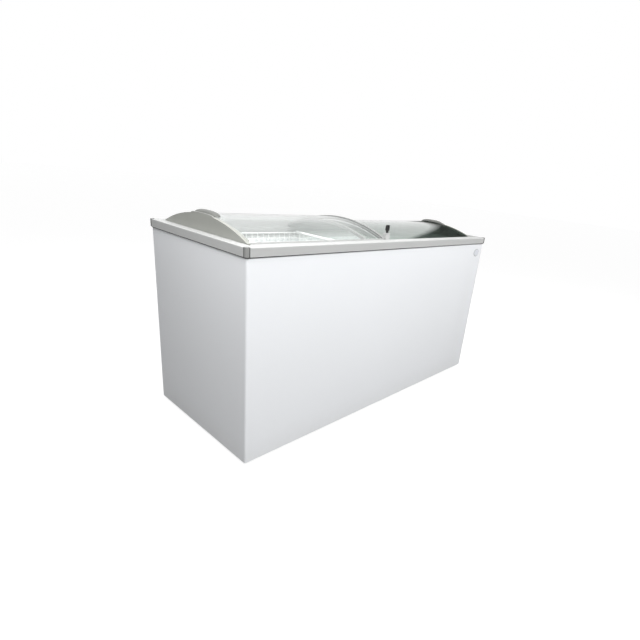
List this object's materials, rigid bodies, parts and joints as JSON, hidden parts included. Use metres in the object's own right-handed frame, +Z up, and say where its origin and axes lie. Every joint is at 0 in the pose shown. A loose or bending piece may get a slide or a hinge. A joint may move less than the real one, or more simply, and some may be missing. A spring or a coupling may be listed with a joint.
{
  "type": "chest freezer",
  "caption": "Long white chest freezer with curved sliding glass lids that overlap, a grey rim, a lock with a key, an insulated tub with a hanging basket, and its machinery.",
  "frame": {"origin": "on the floor, under the middle of the cabinet", "axes": "+X along the length, to the right of a person at the front; the front faces -Y; +Z up"},
  "size_m": [1.53, 0.65, 0.8523],
  "materials": {
    "white_steel": "gloss white powder paint on steel",
    "galvanised_steel": "zinc coated steel",
    "black_steel": "semi-gloss black paint",
    "grey_plastic": "mid grey moulded plastic",
    "condenser_metal": "aluminium fins",
    "rim_plastic": "satin grey extruded plastic",
    "lid_end_plastic": "dark grey moulded plastic with a fine grain",
    "copper_tube": "drawn copper",
    "foam": "foamed-in-place polyurethane",
    "rubber": "matt black rubber",
    "liner_aluminium": "stucco-embossed coated aluminium",
    "white_plastic": "white moulded plastic",
    "black_plastic": "black moulded plastic",
    "seal_brush": "nylon bristle strip",
    "lid_glass": "clear tempered glass",
    "bright_steel": "bright zinc plate",
    "basket_wire": "plastic-coated steel wire",
    "switch_red": "red translucent rocker"
  },
  "bodies": {
    "cabinet": {"base_pan": "galvanised_steel", "compressor": "black_steel", "compressor_channel": "black_steel", "compressor_terminal_box": "grey_plastic", "condenser": "condenser_metal", "control_panel": "grey_plastic", "corner_cap_front_left": "rim_plastic", "corner_cap_front_right": "rim_plastic", "corner_cap_rear_left": "rim_plastic", "corner_cap_rear_right": "rim_plastic", "discharge_pipe": "copper_tube", "drain_tube": "grey_plastic", "evaporator_coil": "copper_tube", "fan_motor": "black_steel", "fan_shroud": "black_steel", "foam_floor": "foam", "foam_front": "foam", "foam_left": "foam", "foam_rear": "foam", "foam_right": "foam", "foam_step_riser": "foam", "foam_step_top": "foam", "foot_front_left": "rubber", "foot_front_right": "rubber", "foot_rear_left": "rubber", "foot_rear_right": "rubber", "front_panel": "white_steel", "inner_liner": "liner_aluminium", "intake_grille": "grey_plastic", "left_side_panel": "white_steel", "liner_collar": "white_plastic", "mains_inlet_bush": "black_plastic", "rear_panel": "white_steel", "right_side_panel": "white_steel", "rim_front": "rim_plastic", "rim_left": "rim_plastic", "rim_rear": "rim_plastic", "rim_right": "rim_plastic", "thermostat": "bright_steel"},
    "left_lid": {"left_lid_end": "lid_end_plastic", "left_lid_glass": "lid_glass", "left_lid_runner_front": "rim_plastic", "left_lid_runner_rear": "rim_plastic", "left_lid_edge_trim": "grey_plastic", "left_lid_brush_seal": "seal_brush", "left_lid_handle": "lid_end_plastic", "lock_housing": "rim_plastic"},
    "right_lid": {"right_lid_end": "lid_end_plastic", "right_lid_glass": "lid_glass", "right_lid_runner_front": "rim_plastic", "right_lid_runner_rear": "rim_plastic", "right_lid_edge_trim": "grey_plastic", "right_lid_handle": "lid_end_plastic"},
    "lock": {"lock_barrel": "bright_steel", "key": "black_plastic"},
    "thermostat_dial": {"thermostat_knob": "white_plastic"},
    "switch_rocker": {"power_switch": "switch_red"},
    "fan": {"fan_blade": "black_plastic"},
    "plug": {"drain_plug": "rubber"},
    "basket": {"hanging_basket": "basket_wire"}
  },
  "joints": [
    {"name": "left_lid_slide", "type": "slide", "parent": "cabinet", "child": "left_lid", "axis": [1, 0, 0], "range_m": [0, 0.56]},
    {"name": "right_lid_slide", "type": "slide", "parent": "cabinet", "child": "right_lid", "axis": [1, 0, 0], "range_m": [-0.56, 0]},
    {"name": "lock_turn", "type": "hinge", "parent": "left_lid", "child": "lock", "pos_m": [-0.0417, -0.2677, 0.773], "axis": [0, 0, 1], "range_deg": [-90, 0]},
    {"name": "thermostat_turn", "type": "hinge", "parent": "cabinet", "child": "thermostat_dial", "pos_m": [0.744, 0.178, 0.1888], "axis": [1, 0, 0], "range_deg": [0, 270]},
    {"name": "switch_rock", "type": "hinge", "parent": "cabinet", "child": "switch_rocker", "pos_m": [0.7482, 0.178, 0.1152], "axis": [0, 1, 0], "range_deg": [-18, 0]},
    {"name": "fan_spin", "type": "hinge", "parent": "cabinet", "child": "fan", "pos_m": [0.6838, -0.07, 0.1425], "axis": [1, 0, 0], "continuous": true},
    {"name": "drain_plug_lift", "type": "slide", "parent": "cabinet", "child": "plug", "axis": [0, 0, 1], "range_m": [0, 0.05]},
    {"name": "basket_slide", "type": "slide", "parent": "cabinet", "child": "basket", "axis": [1, 0, 0], "range_m": [-0.12, 0.774]}
  ]
}
